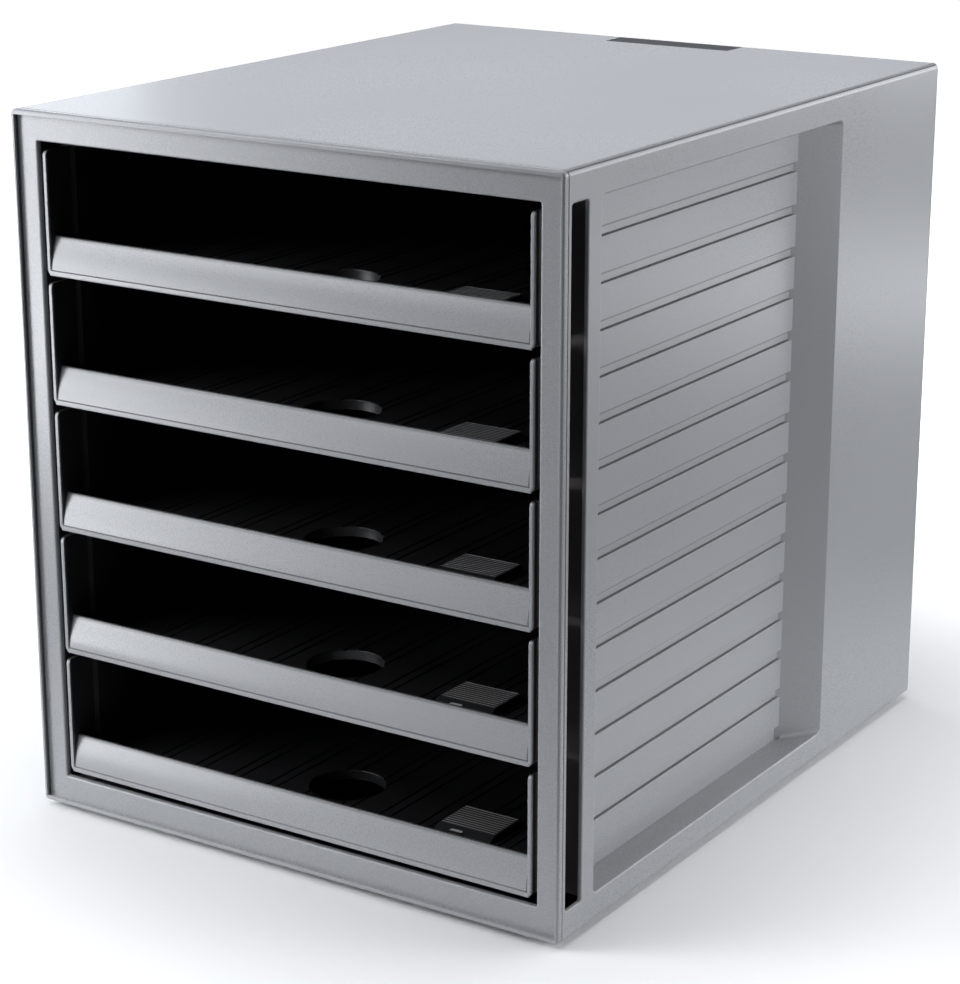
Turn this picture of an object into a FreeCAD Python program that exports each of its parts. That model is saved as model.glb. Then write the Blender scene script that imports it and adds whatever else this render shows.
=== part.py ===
import FreeCAD, Part
import os
import math

# Desktop file drawer: a five-drawer letter cabinet for A4 and C4 paper.
# Millimetres. +Z up, the drawers open towards -Y, X runs across the front.
# Origin: middle of the footprint, on the surface that the feet stand on.

# ---------------------------------------------------------------- dimensions
W = 275.0            # cabinet, across
D = 340.0            # cabinet, front to back
H = 320.0            # overall height, feet included
FOOT_H = 3.0         # rubber foot below the bottom panel
N_DRAWERS = 5

TOP_T = 2.4          # top panel thickness
SIDE_T = 1.7         # side skin thickness
BOT_T = 2.2          # bottom panel thickness
MITRE_GAP = 0.28     # play across the mitred corners of the shell
R_TOP = 2.5          # rounding of the long top corners
R_BOT = 2.0          # rounding of the long bottom corners
R_FRONT = 1.2        # rounding round the front rim
R_REAR = 1.0         # rounding round the rear rim

FACE_Y = 2.6         # front frame: face set back behind the shell's rim
FACE_T = 3.0         # front frame: thickness
OPEN_X = 125.6       # half width of the opening in the front frame
OPEN_Z0 = 16.2       # bottom of that opening
OPEN_Z1 = 306.7      # top of that opening
FRAME_PLAY = 0.1
RETURN_Y = 7.3       # rear edge of the returns behind the opening's upright edges
SEAM_Y = 3.2         # the front frame's rim reaches this far back round the outside
SEAM_GAP = 0.3       # parting line between that rim and the shell panels
SEAM_E = 0.35        # edges broken on both sides of it

SLOT_Y0, SLOT_Y1 = 5.9, 18.2      # upright finger slot through each side
SLOT_Z0, SLOT_Z1 = 15.8, 306.7

POCK_Y0, POCK_Y1 = 28.3, 238.4    # recessed field of each side, at the surface
POCK_YF = 220.2                   # where its slanted rear wall meets the floor
POCK_Z0, POCK_Z1 = 15.3, 306.6
POCK_X = 124.7                    # floor of the recess, distance from the middle
POCK_T = 2.1                      # wall behind the recess
BAND_Z = 36.9                     # lowest slit in the recess
BAND_P = 19.1333                  # pitch of the bands, a third of a drawer pitch
BAND_N = 14
STEP_X = 123.4                    # floor of the narrow bands
STEP_H = 4.2                      # height of the narrow bands
SLIT_X = 122.2                    # floor of the slits
SLIT_H = 0.45                      # height of the slits
EDGE_C = 0.15                      # broken edges of the wide bands

DR_Z = 19.2          # underside of the lowest drawer
DR_P = 57.4          # drawer pitch
DR_H = 54.1          # drawer height
DR_Y0 = 2.6          # front edge of the drawers
DR_Y1 = 331.0        # rear face of the drawers
COLLAR_X = 123.1     # half width of the drawer's front collar
COLLAR_Y = 20.0      # how far back the collar reaches
COLLAR_T = 2.0
BODY_X = 120.1       # half width of the drawer behind the collar
WALL_T = 1.8
FLOOR_Z0, FLOOR_Z1 = 4.0, 6.0     # drawer floor, above the drawer's underside
LIP_TOP = 17.0
HOLE_R = 17.0        # finger hole in the drawer floor
HOLE_Y = 46.5
GROOVE_P = 20.25

RAIL_X = 115.0       # inner edge of the runners
RAIL_T = 1.8
RAIL_PLAY = 0.3      # below each drawer
RAIL_Y0, RAIL_Y1 = 26.3, 333.6
STOP_Y0, STOP_Y1 = 84.0, 88.0     # stop block on the side panel
LUG_Y0, LUG_Y1 = 320.0, 328.0     # lug at the rear of the drawer
TRAVEL = 230.0       # drawer travel, 2 mm short of the stop block

BACK_Y0, BACK_Y1 = 335.5, 337.7
FOOT_R = 8.0
FOOT_X, FOOT_Y0, FOOT_Y1 = 112.0, 27.0, 313.0

V = FreeCAD.Vector
YO = -D / 2.0        # all depths below are counted from the front edge of the shell


# ---------------------------------------------------------------- helpers
def box(x0, x1, y0, y1, z0, z1):
    return Part.makeBox(x1 - x0, y1 - y0, z1 - z0, V(x0, y0 + YO, z0))


def prism_y(points, y0, y1):
    """Polygon in x, z extruded along y."""
    w = Part.makePolygon([V(x, y0 + YO, z) for x, z in points + points[:1]])
    return Part.Face(w).extrude(V(0, y1 - y0, 0))


def prism_x(points, x0, x1):
    """Polygon in y, z extruded along x."""
    w = Part.makePolygon([V(x0, y + YO, z) for y, z in points + points[:1]])
    return Part.Face(w).extrude(V(x1 - x0, 0, 0))


def prism_z(points, z0, z1):
    """Polygon in x, y extruded along z."""
    w = Part.makePolygon([V(x, y + YO, z0) for x, y in points + points[:1]])
    return Part.Face(w).extrude(V(0, 0, z1 - z0))


def cyl(x, y, z0, z1, r):
    return Part.makeCylinder(r, z1 - z0, V(x, y + YO, z0))


def ends(edge):
    vs = [v.Point for v in edge.Vertexes]
    if len(vs) == 1:
        vs = [vs[0], edge.valueAt((edge.FirstParameter + edge.LastParameter) / 2)]
    return vs


def fillet(shape, r, pick):
    edges = [e for e in shape.Edges if pick(e)]
    if not edges:
        raise ValueError("no edges picked for a fillet of %g" % r)
    return shape.makeFillet(r, edges)


def along(e, axis):
    """A straight edge that runs along one axis."""
    a, b = ends(e)[:2]
    d = b.sub(a)
    v = [abs(d.x), abs(d.y), abs(d.z)]
    return v[axis] > 1e-6 and sum(v) - v[axis] < 1e-6


def near(value, target, tol=1e-3):
    return abs(value - target) < tol


def is_ring(e, r, z):
    """A full circle of radius r at height z."""
    try:
        curve = e.Curve
    except TypeError:
        return False
    return (curve.TypeId == "Part::GeomCircle" and near(curve.Radius, r) and near(curve.Center.z, z))


def one(shape):
    shape = shape.removeSplitter()
    if len(shape.Solids) != 1:
        raise ValueError("expected one solid, found %d" % len(shape.Solids))
    return shape.Solids[0]


os.makedirs("parts", exist_ok=True)


def save(name, shape):
    if not shape.isValid():
        raise ValueError(name + " is not valid")
    shape.exportStep("parts/" + name + ".step")
    b = shape.optimalBoundingBox(False, False)
    print("%-20s %8.1f cm3  x %.1f..%.1f  y %.1f..%.1f  z %.1f..%.1f" % (
        name, shape.Volume / 1000, b.XMin, b.XMax, b.YMin, b.YMax, b.ZMin, b.ZMax))


# ---------------------------------------------------------------- outer envelope
# The four shell panels are cut out of one rounded block, so that their corners
# run on from each other across the mitres.
hx = W / 2.0
Z0 = FOOT_H
env = box(-hx, hx, 0, D, Z0, H)
env = fillet(env, R_TOP, lambda e: along(e, 1) and near(ends(e)[0].z, H))
env = fillet(env, R_BOT, lambda e: along(e, 1) and near(ends(e)[0].z, Z0))
env = fillet(env, R_FRONT, lambda e: all(near(p.y, YO) for p in ends(e)))
env = fillet(env, R_REAR, lambda e: all(near(p.y, YO + D) for p in ends(e)))
rim_block = env.common(box(-hx - 1, hx + 1, -1, SEAM_Y, Z0 - 1, H + 1))
rim_block = fillet(rim_block, SEAM_E, lambda e: all(near(p.y, YO + SEAM_Y) for p in ends(e)))
env = env.common(box(-hx - 1, hx + 1, SEAM_Y + SEAM_GAP, D + 1, Z0 - 1, H + 1))
env = fillet(env, SEAM_E, lambda e: all(near(p.y, YO + SEAM_Y + SEAM_GAP) for p in ends(e)))

g = MITRE_GAP
top_in = H - TOP_T
bot_in = Z0 + BOT_T

# ---------------------------------------------------------------- top panel
region = prism_y([(-(hx - TOP_T - g), top_in), (hx - TOP_T - g, top_in),
                  (hx + 3 - g, H + 3), (-(hx + 3 - g), H + 3)], -1, D + 1)
top = env.common(region)
ribs = [box(x - 0.8, x + 0.8, 20, 330, top_in - 4.0, top_in + 0.5) for x in (-70, 0, 70)]
top = one(top.multiFuse(ribs))
badge_seat = box(-34.3, 34.3, 322.2, 338.3, H - 0.9, H + 1)
top = one(top.cut(badge_seat))
save("top_panel", top)

badge = box(-34.0, 34.0, 322.5, 338.0, H - 0.9, H - 0.05)
badge = fillet(badge, 1.5, lambda e: along(e, 2))
badge = fillet(badge, 0.3, lambda e: all(near(p.z, H - 0.05) for p in ends(e)))
save("badge_plate", badge)

# ---------------------------------------------------------------- bottom panel
region = prism_y([(-(hx - BOT_T - g), bot_in), (hx - BOT_T - g, bot_in),
                  (hx + 3 - g, Z0 - 3), (-(hx + 3 - g), Z0 - 3)], -1, D + 1)
bottom = env.common(region)
ribs = [box(x - 0.8, x + 0.8, 20, 330, bot_in - 0.5, bot_in + 5.0) for x in (-70, 0, 70)]
bottom = one(bottom.multiFuse(ribs))
feet_at = [("foot_front_left", -FOOT_X, FOOT_Y0), ("foot_front_right", FOOT_X, FOOT_Y0),
           ("foot_rear_left", -FOOT_X, FOOT_Y1), ("foot_rear_right", FOOT_X, FOOT_Y1)]
bottom = one(bottom.cut(Part.makeCompound([cyl(x, y, 0, 10, 3.0) for n, x, y in feet_at])))
save("bottom_panel", bottom)

# ---------------------------------------------------------------- feet
for name, x, y in feet_at:
    disc = cyl(x, y, 0, FOOT_H, FOOT_R)
    disc = fillet(disc, 0.8, lambda e: all(near(p.z, 0) for p in ends(e)) and len(e.Vertexes) == 1)
    save(name, one(disc.fuse(cyl(x, y, FOOT_H - 0.2, bot_in, 2.95))))

# ---------------------------------------------------------------- side panels
# Right-hand side. One moulding: outer skin, recessed field with its bands, the
# runners on the inside, and flanges that the top, bottom and back sit on.
sx = hx - SIDE_T
region = prism_y([(sx, H - SIDE_T - g), (hx + 3, H + 3 - g),
                  (hx + 3, Z0 - 3 + g), (sx, Z0 + SIDE_T + g)], -1, D + 1)
skin = env.common(region)
slant = (hx - POCK_X) / (POCK_Y1 - POCK_YF)
t = 2.0
n = math.hypot(hx - POCK_X, POCK_Y1 - POCK_YF)
ox, oy = -t * (POCK_Y1 - POCK_YF) / n, t * (hx - POCK_X) / n
inner_x = POCK_X - POCK_T
y_at = lambda x: POCK_Y1 + oy + (x - (hx + ox)) / slant
pan = prism_z([(hx - 0.5, POCK_Y0 - t), (hx - 0.5, y_at(hx - 0.5)), (inner_x, y_at(inner_x)),
               (inner_x, POCK_Y0 - t)], POCK_Z0 - t, POCK_Z1 + t)
add = [pan]
slits = [BAND_Z + BAND_P * k for k in range(-1, BAND_N)]
for z in slits:
    z0 = max(z - 1.6, POCK_Z0 - t)
    add.append(box(121.8, inner_x + 0.3, POCK_Y0 - t, y_at(inner_x), z0, z + STEP_H + 1.2))
    add.append(box(120.6, inner_x + 0.3, POCK_Y0 - t, y_at(inner_x), max(z - 1.8, z0), z + 1.8))
for j in range(N_DRAWERS):
    zb = DR_Z + DR_P * j
    r0, r1 = zb - RAIL_PLAY - RAIL_T, zb - RAIL_PLAY
    add.append(box(RAIL_X, inner_x + 0.3, RAIL_Y0, RAIL_Y1, r0, r1))
    add.append(box(RAIL_X, sx + 0.3, y_at(inner_x) - 6, RAIL_Y1, r0, r1))
    add.append(box(120.9, inner_x + 0.3, STOP_Y0, STOP_Y1, zb + 22.0, zb + 36.5))
add.append(box(127.0, sx + 0.2, 6.0, BACK_Y0, top_in - 2.0, top_in))
add.append(box(127.0, sx + 0.2, 6.0, BACK_Y0, bot_in, bot_in + 2.0))
add.append(box(127.0, sx + 0.2, BACK_Y0 - 2.0, BACK_Y0, bot_in, top_in))
side = skin.multiFuse(add)

pocket = prism_z([(hx + 1, POCK_Y0), (hx + 1, POCK_Y1 + 1 / slant), (POCK_X, POCK_YF), (POCK_X, POCK_Y0)],
                 POCK_Z0, POCK_Z1)
pocket = fillet(pocket, 2.0, lambda e: not along(e, 2) and not along(e, 1) and
                abs(ends(e)[0].x - ends(e)[1].x) > 5)
slot = box(sx - 1, hx + 1, SLOT_Y0, SLOT_Y1, SLOT_Z0, SLOT_Z1)
slot = fillet(slot, 1.4, lambda e: along(e, 0))
cuts = [pocket, slot]
# The narrow bands and slits end in the plane of the slanted rear wall.
y_end = lambda x: POCK_YF + (x - POCK_X) / slant
ahead = prism_z([(POCK_X + 1, POCK_Y0), (POCK_X + 1, y_end(POCK_X + 1)), (SLIT_X - 1, y_end(SLIT_X - 1)),
                 (SLIT_X - 1, POCK_Y0)], POCK_Z0, POCK_Z1)
c = EDGE_C
for z in slits:
    z0, z1, z2 = z - SLIT_H / 2, z + SLIT_H / 2, z + STEP_H
    if z > POCK_Z0 + 5:
        section = [(POCK_X + 0.5, z0 - c - 0.5), (POCK_X - c, z0), (SLIT_X, z0), (SLIT_X, z1), (STEP_X, z1),
                   (STEP_X, z2), (POCK_X - c, z2), (POCK_X + 0.5, z2 + c + 0.5)]
    else:
        section = [(POCK_X + 0.5, POCK_Z0), (STEP_X, POCK_Z0), (STEP_X, z2), (POCK_X - c, z2),
                   (POCK_X + 0.5, z2 + c + 0.5)]
    cuts.append(prism_y(section, POCK_Y0, POCK_YF + 3).common(ahead))
side = one(side.cut(Part.makeCompound(cuts)))


def rim(e):
    ps = ends(e)
    return all(near(p.x, hx, 2e-3) and YO + 5 < p.y < YO + 245 and 10 < p.z < 312 for p in ps)


side = fillet(side, 0.8, rim)
save("side_panel_right", side)
left = side.mirror(V(0, 0, 0), V(1, 0, 0))
save("side_panel_left", left)

# ---------------------------------------------------------------- front frame
fx = sx - FRAME_PLAY
fz0, fz1 = bot_in + FRAME_PLAY, top_in - FRAME_PLAY
frame = box(-fx, fx, FACE_Y, FACE_Y + FACE_T, fz0, fz1)
frame = frame.fuse(rim_block.cut(box(-sx, sx, -1, FACE_Y, bot_in, top_in)))
opening = box(-OPEN_X, OPEN_X, 0, 10, OPEN_Z0, OPEN_Z1)
opening = fillet(opening, 0.8, lambda e: along(e, 1))
frame = one(frame.cut(opening))
frame = fillet(frame, 0.9, lambda e: all(near(p.y, YO + FACE_Y) and abs(p.x) < OPEN_X + 0.1 and
                                         OPEN_Z0 - 0.1 < p.z < OPEN_Z1 + 0.1 for p in ends(e)))
frame = fillet(frame, 0.25, lambda e: all(near(p.y, YO) and abs(p.x) < sx + 0.1 and
                                          bot_in - 0.1 < p.z < top_in + 0.1 for p in ends(e)))
# Short returns behind the opening's upright edges.
returns = [box(x, x + 1.6, FACE_Y + FACE_T - 0.5, RETURN_Y, OPEN_Z0 - 1.0, OPEN_Z1 + 1.0)
           for x in (OPEN_X, -OPEN_X - 1.6)]
frame = one(frame.multiFuse(returns))
tabs = []
for x in (-60, 60):
    tabs.append(box(x - 7, x + 7, FACE_Y + 1, 15, fz1 - 1.6, fz1))
    tabs.append(box(x - 7, x + 7, FACE_Y + 1, 15, fz0, fz0 + 1.6))
frame = one(frame.multiFuse(tabs))
save("front_frame", frame)

# ---------------------------------------------------------------- back panel
back = box(-fx, fx, BACK_Y0, BACK_Y1, fz0, fz1)
field = box(-118, 118, BACK_Y1 - 0.8, BACK_Y1 + 1, 26, 297)
field = fillet(field, 6.0, lambda e: along(e, 1))
back = one(back.cut(field))
back = fillet(back, 0.5, lambda e: all(near(p.y, YO + BACK_Y1) for p in ends(e)))
save("back_panel", back)


# ---------------------------------------------------------------- drawers
def lip_section(x0, x1, zb):
    """Front band, step and leaning lip, in y, z."""
    p = lambda y, z: V(x0, y + YO, z + zb)
    pts = [p(DR_Y0, 0.0), p(DR_Y0, 2.25), p(2.98, 2.6)]
    f1, tp, b1, b0 = p(6.30, 16.1), p(7.35, LIP_TOP), p(8.05, 15.7), p(4.9, FLOOR_Z0)
    edges = [Part.LineSegment(pts[0], pts[1]).toShape(), Part.LineSegment(pts[1], pts[2]).toShape(),
             Part.Arc(pts[2], p(4.08, 9.5), f1).toShape(), Part.Arc(f1, tp, b1).toShape(),
             Part.Arc(b1, p(5.95, 9.6), b0).toShape(), Part.LineSegment(b0, p(4.4, FLOOR_Z0)).toShape(),
             Part.LineSegment(p(4.4, FLOOR_Z0), p(4.4, 0)).toShape(),
             Part.LineSegment(p(4.4, 0), pts[0]).toShape()]
    return Part.Face(Part.Wire(edges)).extrude(V(x1 - x0, 0, 0))


PAD_X0, PAD_X1 = 60.0, 86.6
PAD_Y0, PAD_Y1 = 31.6, 50.6
PAD_H = 2.6
PEGS = ((66.0, 41.0), (80.6, 41.0))


def tray(zb):
    y_in = COLLAR_Y - 1.8
    body = box(-BODY_X, BODY_X, COLLAR_Y - 3, DR_Y1, zb, zb + DR_H)
    body = fillet(body, 1.0, lambda e: (along(e, 1) and near(ends(e)[0].z, zb)))
    body = fillet(body, 3.0, lambda e: along(e, 2) and near(ends(e)[0].y, DR_Y1 + YO))
    collar = box(-COLLAR_X, COLLAR_X, DR_Y0, COLLAR_Y, zb, zb + DR_H)
    collar = fillet(collar, 3.2, lambda e: along(e, 1) and near(ends(e)[0].z, zb))
    collar = fillet(collar, 2.2, lambda e: along(e, 0) and near(ends(e)[0].z, zb + DR_H) and
                    near(ends(e)[0].y, DR_Y0 + YO))
    s = body.fuse(collar)
    ix, cx = BODY_X - WALL_T, COLLAR_X - COLLAR_T
    inner = box(-ix, ix, 0, DR_Y1 - WALL_T, zb + FLOOR_Z1, zb + DR_H + 1)
    inner = fillet(inner, 2.0, lambda e: (along(e, 2) and ends(e)[0].y > 0))
    mouth = box(-cx, cx, 0, y_in, zb + FLOOR_Z1, zb + DR_H + 1)
    front = box(-cx, cx, 0, DR_Y0 + 6, zb + 0.001, zb + DR_H + 1)
    front = fillet(front, 1.4, lambda e: along(e, 1) and ends(e)[0].z < zb + 1)
    under = box(-ix, ix, COLLAR_Y - 4, DR_Y1 - WALL_T, zb - 1, zb + FLOOR_Z0)
    under2 = box(-(cx - 0.6), cx - 0.6, 4.0, y_in, zb - 1, zb + FLOOR_Z0)
    s = s.cut(Part.makeCompound([inner]))
    s = s.cut(mouth).cut(front).cut(under).cut(under2)
    add = [lip_section(-cx - 0.5, cx + 0.5, zb),
           box(-cx - 0.3, cx + 0.3, 4.3, DR_Y0 + 7, zb + FLOOR_Z0, zb + FLOOR_Z1)]
    ring = cyl(0, HOLE_Y, zb + 1.5, zb + FLOOR_Z1, HOLE_R + 1.8)
    add.append(ring)
    grooves, ridges = [], []
    k = -5.5
    while k <= 5.5:
        x = k * GROOVE_P
        ridges.append(box(x + 4.6, x + 5.3, 12, 322, zb + FLOOR_Z1 - 0.2, zb + FLOOR_Z1 + 0.45))
        grooves.append(box(x - 0.6, x + 0.6, 12, 322, zb + FLOOR_Z1 - 0.6, zb + FLOOR_Z1 + 1))
        k += 1.0
    seat = box(PAD_X0 - 1.4, PAD_X1 + 1.4, 10, PAD_Y1 + 2.2, zb + FLOOR_Z1 - 1, zb + FLOOR_Z1 + 2)
    add += [r.cut(seat) for r in ridges]
    for m in (-1, 1):
        x0, x1 = sorted((m * (BODY_X - 0.3), m * 122.2))
        add.append(box(x0, x1, LUG_Y0, LUG_Y1, zb + 26, zb + 32))
    s = s.multiFuse(add)
    cuts = [cyl(0, HOLE_Y, zb - 1, zb + 12, HOLE_R)]
    cuts += [q.cut(seat) for q in grooves]
    cuts += [cyl(x, y, zb, zb + 8, 1.5) for x, y in PEGS]
    s = one(s.cut(Part.makeCompound(cuts)))
    yf = DR_Y0 + YO
    upright = lambda e, x: all(near(p.y, yf) for p in ends(e)) and along(e, 2) and near(abs(ends(e)[0].x), x)
    wall_top = lambda e, x: (all(near(p.z, zb + DR_H) for p in ends(e)) and along(e, 1) and
                             near(abs(ends(e)[0].x), x))
    s = fillet(s, 0.7, lambda e: upright(e, COLLAR_X))
    s = fillet(s, 0.3, lambda e: upright(e, COLLAR_X - COLLAR_T))
    s = fillet(s, 0.5, lambda e: wall_top(e, BODY_X))
    s = fillet(s, 0.5, lambda e: wall_top(e, BODY_X - WALL_T))
    s = fillet(s, 0.5, lambda e: is_ring(e, HOLE_R, zb + FLOOR_Z1))
    s = fillet(s, 0.6, lambda e: all(near(p.z, zb) and near(p.y, yf) for p in ends(e)))
    return s


def pad(zb):
    z0 = zb + FLOOR_Z1
    z1 = z0 + PAD_H
    s = prism_x([(26.2, z0), (PAD_Y0 - 0.6, z1), (PAD_Y1 + 0.3, z1), (PAD_Y1 + 1.1, z0)],
                PAD_X0 - 1.0, PAD_X1 + 1.0)
    s = fillet(s, 0.5, lambda e: not along(e, 0) and abs(ends(e)[0].z - ends(e)[1].z) > 1)
    lines = []
    n = 10
    for i in range(n):
        y = PAD_Y0 + 0.5 + i * (PAD_Y1 - PAD_Y0 - 1.0) / (n - 1)
        t = 0.40 if i == n - 1 else 0.25
        lines.append(box(PAD_X0, PAD_X1, y - t, y + t, z1 - 0.3, z1 + 0.15))
    tab = Part.makeCylinder(3.1, 1.7, V(69.7, 27.4 + YO, z0 + 0.0))
    lines.append(tab.common(box(60, 80, 27.4, 34, z0, z0 + 5)))
    pegs = [cyl(x, y, zb + FLOOR_Z0, z0 + 0.3, 1.4) for x, y in PEGS]
    return one(s.multiFuse(lines + pegs))


for j in range(N_DRAWERS):
    zb = DR_Z + DR_P * j
    save("drawer_tray_%d" % (j + 1), tray(zb))
    save("label_pad_%d" % (j + 1), pad(zb))

# The drawers slide along -Y from closed (0) to TRAVEL.
print("drawer travel", TRAVEL, "mm; undersides at", [round(DR_Z + DR_P * j, 2) for j in range(N_DRAWERS)])
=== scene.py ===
import math

import bpy
from mathutils import Matrix, Vector

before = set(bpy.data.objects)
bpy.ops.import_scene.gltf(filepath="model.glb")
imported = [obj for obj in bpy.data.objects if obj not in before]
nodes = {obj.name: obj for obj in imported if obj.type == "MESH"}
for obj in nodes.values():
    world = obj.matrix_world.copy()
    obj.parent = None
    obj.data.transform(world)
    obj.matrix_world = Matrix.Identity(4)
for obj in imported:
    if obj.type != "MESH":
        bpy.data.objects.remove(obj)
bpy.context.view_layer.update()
scene = bpy.context.scene

# The row frame, in metres: x across, y front (-) to back (+), z up.
FRONT = -0.170          # y of the shell's front rim
DR_Z, DR_P = 0.0192, 0.0574   # underside of the lowest drawer, and the drawers' pitch


# ------------------------------------------------------------------ node helpers
class Graph:
    """A material's node tree, with short calls for what the materials below need."""

    def __init__(self, name):
        self.mat = bpy.data.materials.new(name)
        self.mat.use_nodes = True
        self.nt = self.mat.node_tree
        self.nt.nodes.clear()
        self.out = self.nt.nodes.new("ShaderNodeOutputMaterial")
        self.bsdf = self.nt.nodes.new("ShaderNodeBsdfPrincipled")
        self.nt.links.new(self.bsdf.outputs["BSDF"], self.out.inputs["Surface"])
        self.coord = self.nt.nodes.new("ShaderNodeTexCoord")
        self.pos = self.coord.outputs["Object"]
        self._xyz = None

    def link(self, a, b):
        self.nt.links.new(a, b)

    def put(self, socket, value):
        if hasattr(value, "links"):
            self.link(value, socket)
        else:
            socket.default_value = value

    def math(self, op, a, b=0.0, c=None, clamp=False):
        n = self.nt.nodes.new("ShaderNodeMath")
        n.operation = op
        n.use_clamp = clamp
        self.put(n.inputs[0], a)
        self.put(n.inputs[1], b)
        if c is not None:
            self.put(n.inputs[2], c)
        return n.outputs[0]

    def xyz(self):
        if self._xyz is None:
            n = self.nt.nodes.new("ShaderNodeSeparateXYZ")
            self.link(self.pos, n.inputs[0])
            self._xyz = n.outputs
        return self._xyz

    def ramp(self, v, lo, hi, a=0.0, b=1.0, smooth=True):
        """v from lo to hi mapped on a to b, clamped."""
        n = self.nt.nodes.new("ShaderNodeMapRange")
        n.interpolation_type = "SMOOTHSTEP" if smooth else "LINEAR"
        n.clamp = True
        self.put(n.inputs["Value"], v)
        n.inputs["From Min"].default_value = lo
        n.inputs["From Max"].default_value = hi
        n.inputs["To Min"].default_value = a
        n.inputs["To Max"].default_value = b
        return n.outputs["Result"]

    def noise(self, scale, detail=2.0, rough=0.5, stretch=None, seed=0.0):
        src = self.pos
        if stretch is not None or seed:
            m = self.nt.nodes.new("ShaderNodeMapping")
            m.inputs["Scale"].default_value = stretch or (1, 1, 1)
            m.inputs["Location"].default_value = (seed, seed * 0.37, seed * 0.71)
            self.link(self.pos, m.inputs["Vector"])
            src = m.outputs[0]
        n = self.nt.nodes.new("ShaderNodeTexNoise")
        n.inputs["Scale"].default_value = scale
        n.inputs["Detail"].default_value = detail
        n.inputs["Roughness"].default_value = rough
        self.link(src, n.inputs["Vector"])
        return n.outputs["Fac"]

    def mix(self, fac, a, b, mode="MIX"):
        n = self.nt.nodes.new("ShaderNodeMix")
        n.data_type = "RGBA"
        n.blend_type = mode
        n.clamp_factor = True
        self.put(n.inputs[0], fac)
        for s, v in ((n.inputs[6], a), (n.inputs[7], b)):
            if hasattr(v, "links"):
                self.link(v, s)
            else:
                s.default_value = (*v, 1.0)
        return n.outputs[2]

    def scale_colour(self, colour, factor):
        """colour times a grey factor."""
        n = self.nt.nodes.new("ShaderNodeVectorMath")
        n.operation = "SCALE"
        if hasattr(colour, "links"):
            self.link(colour, n.inputs[0])
        else:
            n.inputs[0].default_value = colour
        self.put(n.inputs["Scale"], factor)
        return n.outputs[0]

    def bump(self, height, strength, distance, under=None):
        n = self.nt.nodes.new("ShaderNodeBump")
        n.inputs["Strength"].default_value = strength
        n.inputs["Distance"].default_value = distance
        self.link(height, n.inputs["Height"])
        if under is not None:
            self.link(under, n.inputs["Normal"])
        return n.outputs["Normal"]


def moulded(g, colour, rough, grain=0.10, grain_scale=2100.0, cloud=0.012, rough_var=0.012, speck=0.018, seed=0.0):
    """Moulded plastic: faint clouding of the colour, fine spark-eroded grain, slightly uneven satin."""
    broad = g.noise(11.0, 1.0, 0.55, stretch=(1.0, 0.6, 1.0), seed=seed + 1.3)
    fine = g.noise(grain_scale, 1.0, 0.65, seed=seed + 0.7)
    tone = g.math("ADD", g.ramp(broad, 0.25, 0.75, 1.0 - cloud, 1.0 + cloud, False),
                  g.ramp(fine, 0.3, 0.7, -speck, speck, False))
    g.link(g.scale_colour(colour, tone), g.bsdf.inputs["Base Color"])
    r = g.math("ADD", g.ramp(broad, 0.3, 0.7, -rough_var, rough_var, False), rough)
    r = g.math("ADD", r, g.ramp(fine, 0.3, 0.7, -0.02, 0.02, False), clamp=True)
    g.link(r, g.bsdf.inputs["Roughness"])
    g.link(g.bump(fine, grain, 0.00010), g.bsdf.inputs["Normal"])
    return g


GREY = (0.300, 0.306, 0.318)
# painted shade: the near-black that stands for shade inside the cabinet, behind the frame and in the drawers
SHADE_BLACK = (0.010, 0.010, 0.011)
FLANK_SHADE = (0.020, 0.018, 0.018)   # the drawers' flanks, painted near-black as shade
CAVITY_SHADE = (0.090, 0.074, 0.072)  # painted shade inside the cabinet beside the slots


def outwardness(g):
    """1 on faces that look away from the middle plane of the cabinet, -1 on those that look towards it."""
    n = g.nt.nodes.new("ShaderNodeSeparateXYZ")
    g.link(g.coord.outputs["Normal"], n.inputs[0])
    return g.math("MULTIPLY", n.outputs[0], g.math("SIGN", g.xyz()[0]))


def inward(g):
    return g.math("LESS_THAN", outwardness(g), -0.5)


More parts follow.
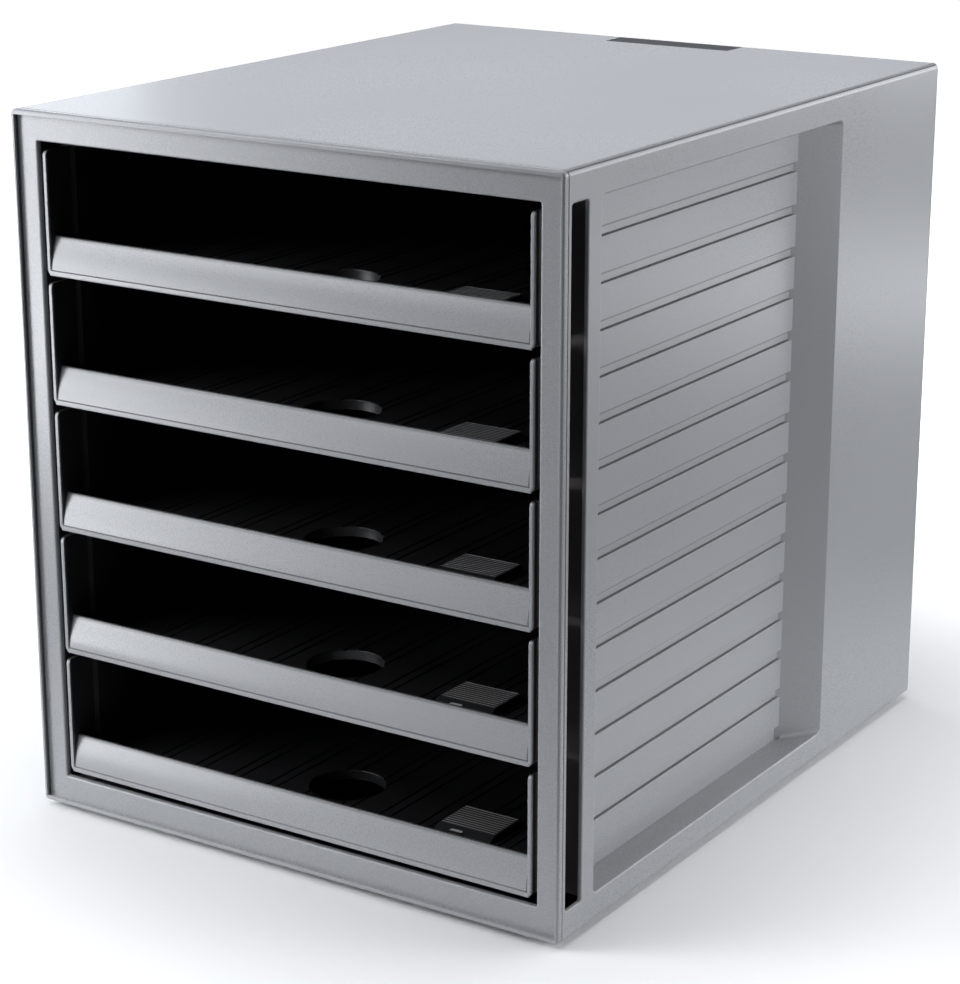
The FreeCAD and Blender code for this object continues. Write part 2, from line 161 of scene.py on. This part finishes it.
def shell_material(name="shell_grey"):
    """Light grey outside; inside the cabinet the moulding is painted near-black as shade."""
    g = Graph(name)
    x, y, z = g.xyz()
    ax = g.math("ABSOLUTE", x)
    # painted shade: faces inside the cabinet that look inward turn near-black
    within = g.math("MULTIPLY", g.math("LESS_THAN", ax, 0.1362), g.math("GREATER_THAN", y, FRONT + 0.0012))
    within = g.math("MULTIPLY", within, g.math("LESS_THAN", y, 0.1672))
    walls = g.math("MULTIPLY", inward(g), within)
    # painted shade: the cavity behind the upright slots is painted dark brownish
    a = g.math("MULTIPLY", g.math("LESS_THAN", ax, 0.13575), g.math("LESS_THAN", y, FRONT + 0.0264))
    cavity = g.math("MULTIPLY", a, g.math("GREATER_THAN", y, FRONT + 0.0055))
    cavity = g.math("MULTIPLY", cavity, g.math("LESS_THAN", g.math("ABSOLUTE", g.math("SUBTRACT", z, 0.1614)), 0.1562))
    # painted shade on the undersides of the top and upper sides of the bottom, inside the cabinet
    lid = g.math("MULTIPLY", g.math("LESS_THAN", z, 0.31765), g.math("GREATER_THAN", z, 0.3094))
    sole = g.math("MULTIPLY", g.math("LESS_THAN", z, 0.0125), g.math("GREATER_THAN", z, 0.00515))
    lid_sole_shade = g.math("MULTIPLY", g.math("MAXIMUM", lid, sole), g.math("LESS_THAN", ax, 0.1357))
    lid_sole_shade = g.math("MULTIPLY", lid_sole_shade, g.math("GREATER_THAN", y, FRONT + 0.0055))
    lid_sole_shade = g.math("MULTIPLY", lid_sole_shade, g.math("LESS_THAN", y, 0.1640))
    dark = g.math("MAXIMUM", g.math("MAXIMUM", walls, cavity), lid_sole_shade)
    inner = g.mix(cavity, SHADE_BLACK, CAVITY_SHADE)
    # soft shade under the lower edge of each wide band of the recess
    floor_of_narrow = g.math("MULTIPLY", g.math("GREATER_THAN", ax, 0.12325), g.math("LESS_THAN", ax, 0.12355))
    up = g.math("MODULO", g.math("ADD", z, 2 * 0.0191333 - 0.0369), 0.0191333)
    shade = g.math("MULTIPLY", g.ramp(up, 0.0030, 0.0033), g.math("LESS_THAN", up, 0.0045))
    shade = g.math("MULTIPLY", shade, floor_of_narrow)
    outer = g.mix(shade, GREY, (0.150, 0.153, 0.160))
    moulded(g, g.mix(dark, outer, inner), g.ramp(dark, 0.0, 1.0, 0.29, 0.50), grain=0.08)
    g.bsdf.inputs["IOR"].default_value = 1.5
    return g.mat


def frame_material():
    g = Graph("frame_grey")
    x, y, z = g.xyz()
    # painted shade: the frame turns black where it lies deeper than its face
    behind = g.ramp(y, FRONT + 0.0046, FRONT + 0.0052)
    ax = g.math("ABSOLUTE", x)
    behind = g.math("MULTIPLY", behind, g.math("LESS_THAN", ax, 0.13575))
    # painted shade on the narrow inner walls of the rim, beside the stiles
    wall_shade = g.math("MULTIPLY", g.math("GREATER_THAN", ax, 0.1340), g.ramp(outwardness(g), -0.9, -0.6, 1.0, 0.0))
    wall_shade = g.math("MULTIPLY", wall_shade, g.ramp(y, FRONT + 0.0007, FRONT + 0.0014))
    face = g.mix(wall_shade, GREY, (0.045, 0.047, 0.050))
    moulded(g, g.mix(behind, face, SHADE_BLACK), g.ramp(behind, 0.0, 1.0, 0.27, 0.50), grain=0.02, speck=0.006, seed=3.0)
    g.bsdf.inputs["IOR"].default_value = 1.5
    return g.mat


def tray_material():
    """Grey at the front edge and lip; behind it painted shade: a darker grey band, then near-black inside the drawer
    and on its flanks.
    """
    g = Graph("tray_grey_painted_shade")
    x, y, z = g.xyz()
    ax = g.math("ABSOLUTE", x)
    # painted shade: a darker band just behind the front edge, then near-black inside the drawer
    edge = g.ramp(y, FRONT + 0.0060, FRONT + 0.0066)
    inside = g.ramp(y, FRONT + 0.0074, FRONT + 0.0080)
    # painted shade: the collar's walls turn dark sooner than the lip, which leans back
    wall_shade = g.ramp(ax, 0.12095, 0.12105)
    early = g.math("MULTIPLY", g.ramp(y, FRONT + 0.0030, FRONT + 0.0042), wall_shade)
    dark = g.math("MAXIMUM", inside, early)
    # painted shade: the drawer's outer flanks turn near-black
    flank = g.math("MULTIPLY", g.math("GREATER_THAN", ax, 0.1198), g.math("GREATER_THAN", outwardness(g), 0.3))
    # painted shade: a dark line in the fine groove where the lip's panel is set back in the collar, and beside it
    h = g.math("MODULO", g.math("SUBTRACT", z, DR_Z), DR_P)
    groove = g.math("MULTIPLY", g.math("GREATER_THAN", h, 0.00226), g.math("LESS_THAN", h, 0.00275))
    beside = g.math("MULTIPLY", g.math("GREATER_THAN", ax, 0.12030), g.math("GREATER_THAN", h, 0.00226))
    beside = g.math("MULTIPLY", beside, g.math("GREATER_THAN", y, FRONT + 0.00265))
    groove = g.math("MULTIPLY", g.math("MAXIMUM", groove, beside), g.math("LESS_THAN", ax, 0.12112))
    front = g.mix(groove, g.mix(edge, GREY, (0.085, 0.086, 0.089)), (0.115, 0.117, 0.121))
    colour = g.mix(dark, front, g.mix(flank, SHADE_BLACK, FLANK_SHADE))
    moulded(g, colour, g.ramp(dark, 0.0, 1.0, 0.28, 0.45), grain=0.02, speck=0.006, seed=6.0)
    g.bsdf.inputs["IOR"].default_value = 1.5
    return g.mat


def pad_material():
    """Label holder painted near-black as shade, like the drawer's inside; the tops of its ruled ribs and finger tab
    painted light as highlights.
    """
    g = Graph("pad_ruled")
    x, y, z = g.xyz()
    h = g.math("MODULO", g.math("SUBTRACT", z, DR_Z), DR_P)
    # painted highlight: the tops of the ruled ribs and of the finger tab are painted light
    line = g.ramp(h, 0.00870, 0.00872)
    tab = g.math("MULTIPLY", g.ramp(h, 0.00766, 0.00768), g.math("LESS_THAN", h, 0.00773))
    n = g.nt.nodes.new("ShaderNodeSeparateXYZ")
    g.link(g.coord.outputs["Normal"], n.inputs[0])
    light = g.math("MULTIPLY", g.math("MAXIMUM", line, tab), g.math("GREATER_THAN", n.outputs[2], 0.97))
    colour = g.mix(light, SHADE_BLACK, (0.50, 0.50, 0.51))
    moulded(g, colour, 0.40, grain=0.06, seed=9.0)
    g.bsdf.inputs["IOR"].default_value = 1.47
    return g.mat


def badge_material():
    g = Graph("badge_dark")
    moulded(g, (0.062, 0.065, 0.072), 0.60, grain=0.05, seed=12.0)
    g.bsdf.inputs["Specular IOR Level"].default_value = 0.22
    return g.mat


def foot_material():
    g = Graph("foot_rubber")
    moulded(g, (0.022, 0.022, 0.024), 0.72, grain=0.3, grain_scale=1300.0, seed=15.0)
    return g.mat


mats = {
    "shell_plastic": shell_material(),
    "frame_plastic": frame_material(),
    "back_plastic": shell_material(),
    "tray_plastic": tray_material(),
    "pad_plastic": pad_material(),
    "badge_plastic": badge_material(),
    "foot_rubber": foot_material(),
}
for o in nodes.values():
    for s in o.material_slots:
        for key, m in mats.items():
            if s.material is not None and s.material.name.split(".")[0] == key:
                s.material = m

# ------------------------------------------------------------------ floor and backdrop
def floor_material():
    """Pale matt studio floor that fades out into the white background away from the cabinet."""
    g = Graph("floor_pale")
    tone = g.ramp(g.noise(1.2, 2.0), 0.3, 0.7, 0.985, 1.0)
    g.link(g.scale_colour((0.93, 0.93, 0.93), tone), g.bsdf.inputs["Base Color"])
    g.bsdf.inputs["Roughness"].default_value = 0.9
    g.bsdf.inputs["Specular IOR Level"].default_value = 0.1
    n = g.nt.nodes.new("ShaderNodeVectorMath")
    n.operation = "LENGTH"
    g.link(g.pos, n.inputs[0])
    clear = g.nt.nodes.new("ShaderNodeBsdfTransparent")
    fade = g.nt.nodes.new("ShaderNodeMixShader")
    g.link(g.ramp(n.outputs["Value"], FLOOR_R0, FLOOR_R1), fade.inputs[0])
    g.link(g.bsdf.outputs[0], fade.inputs[1])
    g.link(clear.outputs[0], fade.inputs[2])
    g.link(fade.outputs[0], g.out.inputs["Surface"])
    return g.mat


FLOOR_R0, FLOOR_R1 = 0.20, 0.50


def ring_mesh(name, radii, z, steps=96):
    """Flat disc made of rings."""
    verts, faces = [(0.0, 0.0, z)], []
    for r in radii:
        verts += [(r * math.cos(2 * math.pi * i / steps), r * math.sin(2 * math.pi * i / steps), z)
                  for i in range(steps)]
    for i in range(steps):
        faces.append((0, 1 + i, 1 + (i + 1) % steps))
    for k in range(len(radii) - 1):
        a, b = 1 + k * steps, 1 + (k + 1) * steps
        for i in range(steps):
            j = (i + 1) % steps
            faces.append((a + i, b + i, b + j, a + j))
    me = bpy.data.meshes.new(name)
    me.from_pydata(verts, [], faces)
    return me


floor = bpy.data.objects.new("floor", ring_mesh("floor", (0.25, 0.5, 0.75, 1.0), 0.0))
scene.collection.objects.link(floor)
floor.data.materials.append(floor_material())


def backdrop():
    """A plain white cyclorama wall all round. It is only a background: it neither lights nor mirrors."""
    steps, rows, r = 96, 10, 12.0
    verts = [(0.0, 0.0, -0.006)]
    faces = [(0, 1 + i, 1 + (i + 1) % steps) for i in range(steps)]
    for k in range(rows + 1):
        e = math.radians(88.0 * k / rows)
        for i in range(steps):
            a = 2 * math.pi * i / steps
            verts.append((r * math.cos(e) * math.cos(a), r * math.cos(e) * math.sin(a), r * math.sin(e) - 0.006))
    for k in range(rows):
        for i in range(steps):
            j = (i + 1) % steps
            p, q = 1 + k * steps, 1 + (k + 1) * steps
            faces.append((p + i, q + i, q + j, p + j))
    me = bpy.data.meshes.new("backdrop")
    me.from_pydata(verts, [], faces)
    o = bpy.data.objects.new("backdrop", me)
    scene.collection.objects.link(o)
    g = Graph("backdrop_white")
    g.bsdf.inputs["Base Color"].default_value = (0.9, 0.9, 0.9, 1.0)
    g.bsdf.inputs["Roughness"].default_value = 1.0
    g.bsdf.inputs["Emission Color"].default_value = (1.0, 1.0, 1.0, 1.0)
    g.link(g.ramp(g.noise(0.3), 0.2, 0.8, 0.93, 0.95), g.bsdf.inputs["Emission Strength"])
    o.data.materials.append(g.mat)
    o.visible_diffuse = False
    o.visible_glossy = False
    o.visible_shadow = False


backdrop()


# ------------------------------------------------------------------ light
MID = Vector((0.0, 0.0, 0.16))


def softbox(name, azimuth, elevation, distance, width, height, level, colour=(1.0, 1.0, 1.0)):
    """A soft box aimed at the cabinet. Azimuth 0 is in front, 90 on the right; level is its brightness."""
    a, e = math.radians(azimuth), math.radians(elevation)
    d = Vector((math.sin(a) * math.cos(e), -math.cos(a) * math.cos(e), math.sin(e)))
    lamp = bpy.data.lights.new(name, "AREA")
    lamp.shape = "RECTANGLE"
    lamp.size, lamp.size_y = width, height
    lamp.energy = 10.0 * width * height * level
    lamp.color = colour
    o = bpy.data.objects.new(name, lamp)
    scene.collection.objects.link(o)
    o.location = MID + d * distance
    o.rotation_mode = "QUATERNION"
    o.rotation_quaternion = d.to_track_quat("Z", "Y")
    o.visible_camera = False


COOL, PALE = (0.945, 0.985, 1.055), (0.975, 0.995, 1.03)
for row in (
    ("left_front_low", -46, 2, 0.80, 0.26, 0.26, 1.20, PALE),
    ("left_front_mid", -46, 14, 0.80, 0.26, 0.26, 1.05, PALE),
    ("left_front_high", -46, 30, 0.80, 0.26, 0.26, 0.72, PALE),
    ("left_front_strip", -46, 8, 0.95, 0.20, 0.55, 0.95, PALE),
    ("left_front_floor", -44, -8, 0.80, 0.30, 0.10, 2.40, PALE),
    ("left_rim", -108, -8, 1.20, 0.36, 0.20, 3.00, PALE),
    ("left_rim_front", -84, -8, 1.20, 0.36, 0.20, 3.00, PALE),
    ("front_left_low", -38, 2, 0.80, 0.26, 0.26, 0.84, PALE),
    ("front_left_mid", -38, 30, 0.80, 0.26, 0.26, 0.50, PALE),
    ("front_left_high", -30, 30, 0.80, 0.26, 0.26, 1.10, PALE),
    ("front_left_far", -30, 38, 1.70, 0.718, 0.60, 0.90, PALE),
    ("front", 0, 9, 1.70, 0.88, 0.50, 0.46, PALE),
    ("back_left", -150, 18, 1.70, 0.866, 0.40, 0.43, COOL),
    ("back_left_side", -120, 18, 1.70, 0.866, 0.40, 0.95, COOL),
    ("back_right_floor", 148, -7, 1.00, 0.40, 0.08, 0.95, PALE),
    ("back_right_low", 150, 5, 1.70, 0.908, 0.34, 1.50, PALE),
    ("back_right", 150, 18, 1.70, 0.866, 0.40, 0.95, PALE),
    ("right_back_low", 120, 5, 1.70, 0.908, 0.34, 2.10, PALE),
    ("right_back", 120, 18, 1.70, 0.866, 0.40, 1.35, PALE),
    ("right_near", 100, 8, 0.90, 0.40, 0.40, 1.08, PALE),
    ("right_front", 60, 18, 1.70, 0.866, 0.40, 0.10, PALE),
    ("overhead", 0, 90, 1.80, 0.90, 0.90, 2.40, PALE),
):
    softbox(*row)

world = bpy.data.worlds.new("studio")
scene.world = world
world.use_nodes = True
bg = world.node_tree.nodes.get("Background") or world.node_tree.nodes.new("ShaderNodeBackground")
bg.inputs["Color"].default_value = (0.97, 0.985, 1.0, 1.0)
bg.inputs["Strength"].default_value = 0.05

# ------------------------------------------------------------------ camera
cam_data = bpy.data.cameras.new("camera")
cam = bpy.data.objects.new("camera", cam_data)
scene.collection.objects.link(cam)
cam_data.sensor_fit = "AUTO"
cam_data.sensor_width = 36.0
cam_data.lens = 99.44
cam_data.dof.use_dof = False
cam_data.clip_start, cam_data.clip_end = 0.05, 60.0
cam.location = (0.655, -1.026, 0.501)
fwd = Vector((-0.520, 0.802, -0.292)).normalized()
cam.rotation_mode = "QUATERNION"
cam.rotation_quaternion = fwd.to_track_quat("-Z", "Y")
scene.camera = cam

scene.view_settings.view_transform = "Standard"
scene.view_settings.look = "None"

# ------------------------------------------------------------------ finish
bpy.context.view_layer.update()
